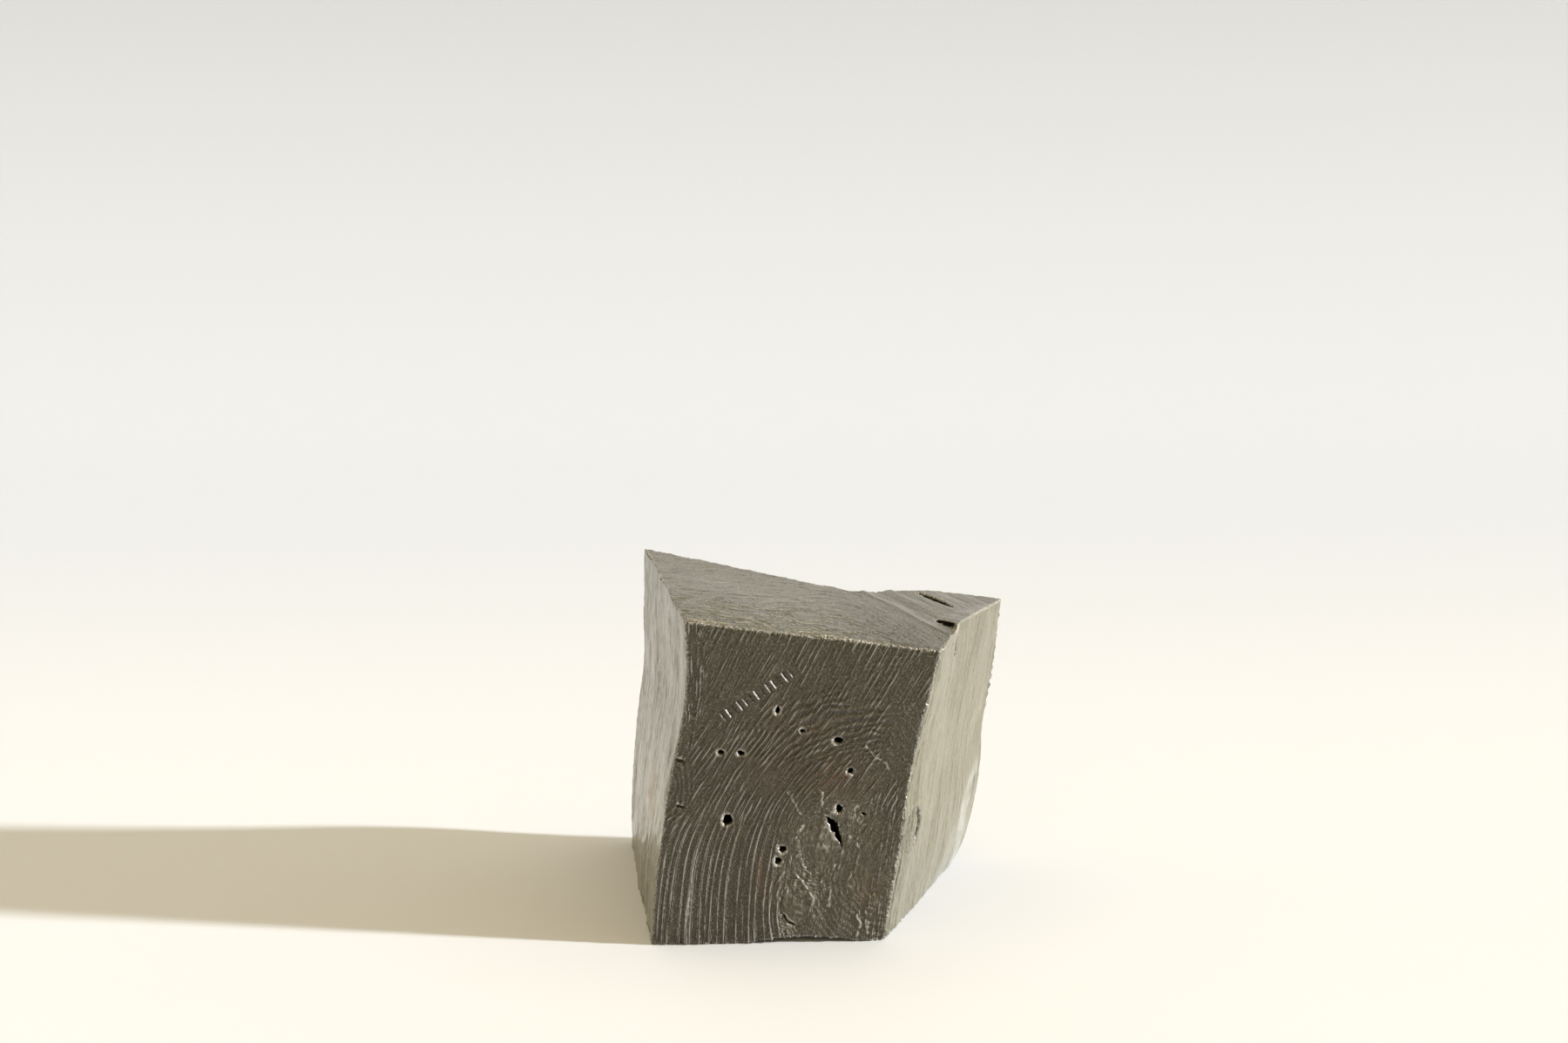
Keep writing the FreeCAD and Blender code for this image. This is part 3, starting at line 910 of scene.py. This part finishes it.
def ramp(tree, value, low, high):
    """Value taken from low..high to 0..1, clamped and smooth."""
    node = add(tree, "ShaderNodeMapRange",
               {"Value": value, "From Min": low, "From Max": high}, interpolation_type="SMOOTHSTEP")
    return node.outputs["Result"]


def blend(tree, share, first, second):
    """Colour between two colours or links."""
    node = add(tree, "ShaderNodeMix", {0: share, 6: first, 7: second}, data_type="RGBA")
    return node.outputs[2]


def reading(tree, name, output="Fac"):
    """What the mesh keeps under a name."""
    return add(tree, "ShaderNodeAttribute", attribute_name=name).outputs[output]


def grain_noise(tree, grain, width, length):
    """Noise drawn out along the grain; width and length are in millimetres."""
    stretched = add(tree, "ShaderNodeVectorMath",
                    {0: grain, 1: (1 / width, 1 / length, 1.0)}, operation="MULTIPLY")
    noise_node = add(tree, "ShaderNodeTexNoise",
                     {"Vector": stretched.outputs[0], "Scale": 1.0, "Detail": 3.0, "Roughness": 0.6})
    return noise_node.outputs["Fac"]


DARK = (0.012, 0.010, 0.007, 1)         # dark grain, and painted shade in the grooves
BODY = (0.039, 0.030, 0.009, 1)         # the front
TOP_BODY = (0.053, 0.049, 0.030, 1)     # the sawn top, lighter than the front as painted sheen
WALL_BODY = (0.059, 0.053, 0.028, 1)    # the split sides, paler than the front partly as dust and partly as painted sheen
CREST_HIGHLIGHT = (0.320, 0.318, 0.312, 1)        # painted highlights on the crests, hairlines and grit of the grain
KNOT_TONE = (0.064, 0.055, 0.033, 1)    # smoother knot wood
RUST = (0.120, 0.060, 0.028, 1)         # brown streaks
WARM = (0.250, 0.170, 0.080, 1)         # brown patch on the left side
GLINT_WHITE = (0.630, 0.630, 0.630, 1)     # painted highlight left of each hole, and painted glints on the edges
GLEAM_TONE = (0.430, 0.460, 0.480, 1)       # painted reflection on the right side's fracture strip and lower part
PIT_SHADE = (0.007, 0.006, 0.005, 1)          # painted shade inside holes, cracks and joints
ROUGHNESS = 0.34
BUMP = 0.0004                           # metres that the finest relief stands


def toned(tree, tone, share, colour):
    """Tone with a colour laid over it by a share."""
    return blend(tree, share, tone, colour)


def scaled(tree, first, second):
    """Product of two numbers or links."""
    return math_node(tree, "MULTIPLY", first, second)


def grain_tone(tree, body, contrast, hair, grit, streaks, clouds):
    """Colour of the grain alone: rings, hairlines and grit, with painted shade in the grooves and
    painted highlights on the crests.
    """
    fine = reading(tree, "fine")
    # painted shade: the low parts of the relief are coloured darker
    tone = toned(tree, body, scaled(tree, ramp(tree, fine, 0.02, -0.16), 0.8 * contrast), DARK)
    tone = toned(tree, tone, scaled(tree, ramp(tree, streaks, 0.45, 0.75), 0.5 * contrast), DARK)
    tone = toned(tree, tone, scaled(tree, reading(tree, "calm"), 0.7), KNOT_TONE)
    tone = toned(tree, tone, scaled(tree, reading(tree, "bands"), 0.8), DARK)
    tone = toned(tree, tone, scaled(tree, ramp(tree, clouds, 0.45, 0.75), 0.3), KNOT_TONE)
    # painted highlights: pale hairlines and grit here, and pale crests of the relief below
    tone = toned(tree, tone, scaled(tree, ramp(tree, hair, 0.56, 0.72), 0.34 * contrast), CREST_HIGHLIGHT)
    tone = toned(tree, tone, scaled(tree, ramp(tree, hair, 0.46, 0.30), 0.65 * contrast), DARK)
    tone = toned(tree, tone, scaled(tree, ramp(tree, grit, 0.53, 0.65), 0.42 * contrast), CREST_HIGHLIGHT)
    tone = toned(tree, tone, scaled(tree, ramp(tree, grit, 0.48, 0.36), 0.60 * contrast), DARK)
    crests = scaled(tree, ramp(tree, fine, 0.09, 0.24), ramp(tree, hair, 0.28, 0.50))
    return toned(tree, tone, scaled(tree, crests, 0.9 * contrast), CREST_HIGHLIGHT)


def ink_tone(tree, body, contrast, grazing, hair, grit, streaks, clouds):
    """Colour of the ink: grain, stains, painted edge glints and rim highlights, painted reflection on
    the fracture and painted shade in pits.
    """
    tone = grain_tone(tree, body, contrast, hair, grit, streaks, clouds)
    stain = scaled(tree, reading(tree, "rust"), ramp(tree, streaks, 0.38, 0.60))
    tone = toned(tree, tone, scaled(tree, stain, 0.7), RUST)
    warm = scaled(tree, reading(tree, "warm"), ramp(tree, clouds, 0.30, 0.55))
    tone = toned(tree, tone, scaled(tree, warm, 0.8), WARM)
    # painted glints along the edges, as pale lines and bright dots
    edge_glint = scaled(tree, reading(tree, "edge_glint"), ramp(tree, hair, 0.42, 0.60))
    tone = toned(tree, tone, scaled(tree, edge_glint, 0.85), CREST_HIGHLIGHT)
    glint_dots = scaled(tree, reading(tree, "edge_glint"), ramp(tree, grit, 0.50, 0.60))
    tone = toned(tree, tone, scaled(tree, glint_dots, 0.9 * contrast), GLINT_WHITE)
    # painted highlights on the rims of openings
    tone = toned(tree, tone, scaled(tree, reading(tree, "rim_glint"), 0.8), GLINT_WHITE)
    # painted reflection, shown only where the side is seen at a grazing angle
    gleam_share = scaled(tree, reading(tree, "gleam"), grazing)
    tone = toned(tree, tone, scaled(tree, gleam_share, 0.9), GLEAM_TONE)
    # painted shade, deepening with depth
    return toned(tree, tone, ramp(tree, reading(tree, "depth"), 0.4, 1.5), PIT_SHADE)


def head_on_grain(tree, tone, grazing, hair, streaks):
    """Darker streaks and painted hairline highlights on the sides and top, shown only where they are
    seen head on and the painted sheen is weak.
    """
    frontal = math_node(tree, "SUBTRACT", 1.0, grazing)
    dark = scaled(tree, ramp(tree, streaks, 0.40, 0.60), frontal)
    tone = toned(tree, tone, scaled(tree, dark, 0.50), DARK)
    light = scaled(tree, ramp(tree, hair, 0.50, 0.64), frontal)
    return toned(tree, tone, scaled(tree, light, 0.22), CREST_HIGHLIGHT)


def ink_material(name, grain_name, body, sheen_lift, contrast, coat):
    """Dark ink with grain-drawn colour, painted sheen at grazing angles, a semi-gloss surface and fine
    hairlines.
    """
    material = bpy.data.materials.new(name)
    material.use_nodes = True
    tree = material.node_tree
    shader = tree.nodes["Principled BSDF"]
    grain = reading(tree, grain_name, "Vector")
    hair = grain_noise(tree, grain, 0.32, 3.2)
    grit = grain_noise(tree, grain, 0.30, 0.55)
    streaks = grain_noise(tree, grain, 0.9, 9.0)
    clouds = grain_noise(tree, grain, 7.0, 12.0)
    facing = add(tree, "ShaderNodeLayerWeight", {"Blend": 0.5}).outputs["Facing"]
    # painted sheen: the colour is lighter where the surface is seen at a grazing angle
    sheened = blend(tree, ramp(tree, facing, 0.25, 0.85), body, tuple(c * sheen_lift for c in body[:3]) + (1,))
    grazing = ramp(tree, facing, 0.20, 0.55)
    tone = ink_tone(tree, sheened, contrast, grazing, hair, grit, streaks, clouds)
    if sheen_lift > 1:
        tone = head_on_grain(tree, tone, grazing, hair, streaks)
    tree.links.new(tone, shader.inputs["Base Color"])
    gloss = math_node(tree, "MULTIPLY_ADD", clouds, 0.20)
    gloss.node.inputs[2].default_value = ROUGHNESS - 0.10
    tree.links.new(gloss, shader.inputs["Roughness"])
    rough = math_node(tree, "ADD", hair, scaled(tree, grit, 0.8))
    bump = add(tree, "ShaderNodeBump", {"Height": rough, "Strength": 1.0, "Distance": BUMP * contrast})
    tree.links.new(bump.outputs[0], shader.inputs["Normal"])
    shader.inputs["IOR"].default_value = 1.5 + 0.2 * coat
    shader.inputs["Specular Tint"].default_value = (1.0, 0.95, 0.84, 1)
    shader.inputs["Coat Weight"].default_value = coat
    shader.inputs["Coat Roughness"].default_value = 0.22
    shader.inputs["Coat IOR"].default_value = 1.8
    shader.inputs["Coat Tint"].default_value = (1.0, 0.98, 0.90, 1)
    return material


def stage_material(name, colour):
    """Matt stage surface with a very faint mottle, which turns into the backdrop's colour."""
    material = bpy.data.materials.new(name)
    material.use_nodes = True
    tree = material.node_tree
    shader = tree.nodes["Principled BSDF"]
    mottle = add(tree, "ShaderNodeTexNoise", {"Scale": 6.0, "Detail": 4.0})
    darker = tuple(c * 0.97 for c in colour[:3]) + (1,)
    floor = blend(tree, mottle.outputs["Fac"], colour, darker)
    place = add(tree, "ShaderNodeNewGeometry").outputs["Position"]
    behind = add(tree, "ShaderNodeSeparateXYZ", {"Vector": place}).outputs["Y"]
    tone = blend(tree, ramp(tree, behind, 0.05, 0.40), floor, BACKDROP)
    tree.links.new(tone, shader.inputs["Base Color"])
    shader.inputs["Roughness"].default_value = 0.7
    shader.inputs["Specular IOR Level"].default_value = 0.2
    return material


# ---------------------------------------------------------------- stage, light and camera
WORLD_NEAR = (0.46, 0.375, 0.21, 1)     # light from behind the camera
WORLD_FAR = (1.22, 1.11, 0.84, 1)       # light from the far side
WORLD_SEEN = (0.90, 0.89, 0.86, 1)      # what the camera sees past the stage
FLOOR = (0.75, 0.78, 0.85, 1)           # the stage near the block
BACKDROP = (0.66, 0.70, 0.79, 1)        # the stage well behind it
KEY_POWER = 5.7                         # the low sun
KEY_AZIMUTH = -9.0                      # degrees from +X towards +Y
KEY_HEIGHT = 20.0                       # degrees above the floor
FILL_POWER = 0.48                       # the faint light from above
CAMERA_PLACE = (-30.8, -503.5, 202.0)   # millimetres
CAMERA_DOWN = 12.37                     # degrees below level
CAMERA_TURN = -2.6                      # degrees round Z


def build_stage():
    """Pale floor that sweeps up into a pale backdrop behind the block; lengths in metres."""
    half_width, front, bend_start, bend_radius, top = 2.5, -2.5, 0.55, 0.35, 2.2
    profile = [(front, 0.0), (bend_start, 0.0)]
    for step in range(1, 25):
        angle = math.radians(90 * step / 24)
        profile.append((bend_start + bend_radius * math.sin(angle), bend_radius * (1 - math.cos(angle))))
    profile.append((bend_start + bend_radius, top))
    points = [(x, y, z) for y, z in profile for x in (-half_width, half_width)]
    faces = [(2 * i, 2 * i + 1, 2 * i + 3, 2 * i + 2) for i in range(len(profile) - 1)]
    mesh = bpy.data.meshes.new("sweep")
    mesh.from_pydata(points, [], faces)
    mesh.shade_smooth()
    mesh.materials.append(stage_material("pale_stage", FLOOR))
    sweep = bpy.data.objects.new("sweep", mesh)
    bpy.context.scene.collection.objects.link(sweep)


def build_world():
    """Surroundings: dim and warm behind the camera, bright and pale ahead of it."""
    world = bpy.data.worlds.new("soft")
    bpy.context.scene.world = world
    world.use_nodes = True
    tree = world.node_tree
    direction = add(tree, "ShaderNodeTexCoord").outputs["Generated"]
    depth = add(tree, "ShaderNodeSeparateXYZ", {"Vector": direction}).outputs["Y"]
    lit = blend(tree, ramp(tree, depth, -0.45, 0.45), WORLD_NEAR, WORLD_FAR)
    seen = add(tree, "ShaderNodeLightPath").outputs["Is Camera Ray"]
    backdrop = tree.nodes["Background"]
    tree.links.new(blend(tree, seen, lit, WORLD_SEEN), backdrop.inputs["Color"])


def build_light():
    """One low soft key from the right that rakes the front."""
    key = bpy.data.lights.new("key", "SUN")
    key.energy = KEY_POWER
    key.angle = math.radians(3.0)
    key.color = (0.97, 0.98, 0.97)
    lamp = bpy.data.objects.new("key", key)
    azimuth, height = math.radians(KEY_AZIMUTH), math.radians(KEY_HEIGHT)
    towards = Vector((math.cos(azimuth) * math.cos(height), math.sin(azimuth) * math.cos(height),
                      math.sin(height)))
    lamp.rotation_euler = towards.to_track_quat("Z", "Y").to_euler()
    bpy.context.scene.collection.objects.link(lamp)


def build_fill():
    """Faint warm light from above, which keeps the shadow on the table warm."""
    fill = bpy.data.lights.new("fill", "SUN")
    fill.energy = FILL_POWER
    fill.angle = math.radians(60.0)
    fill.color = (1.0, 0.62, 0.10)
    lamp = bpy.data.objects.new("fill", fill)
    bpy.context.scene.collection.objects.link(lamp)


def build_camera():
    """Camera half a metre in front, a little left, looking 12 degrees down."""
    camera = bpy.data.cameras.new("camera")
    camera.lens = 50
    camera.sensor_width = 36
    camera.clip_start = 0.01
    holder = bpy.data.objects.new("camera", camera)
    holder.location = Vector(CAMERA_PLACE) / MM
    holder.rotation_euler = (math.radians(90 - CAMERA_DOWN), 0, math.radians(CAMERA_TURN))
    bpy.context.scene.collection.objects.link(holder)
    bpy.context.scene.camera = holder


def main():
    bpy.context.scene.view_settings.view_transform = "Standard"
    materials = [
        ink_material("ink_front", "front_grain", BODY, 1.0, 1.0, 0.25),
        ink_material("ink_top", "top_grain", TOP_BODY, 2.1, 1.5, 1.0),
        ink_material("ink_wall", "wall_grain", WALL_BODY, 2.2, 0.50, 0.8),
    ]
    outline = build_block(materials)
    for node in ("large_knot", "lower_knot", "small_knot", "side_knot"):
        build_knot(node, outline, materials)
    build_stage()
    build_world()
    build_light()
    build_fill()
    build_camera()


main()
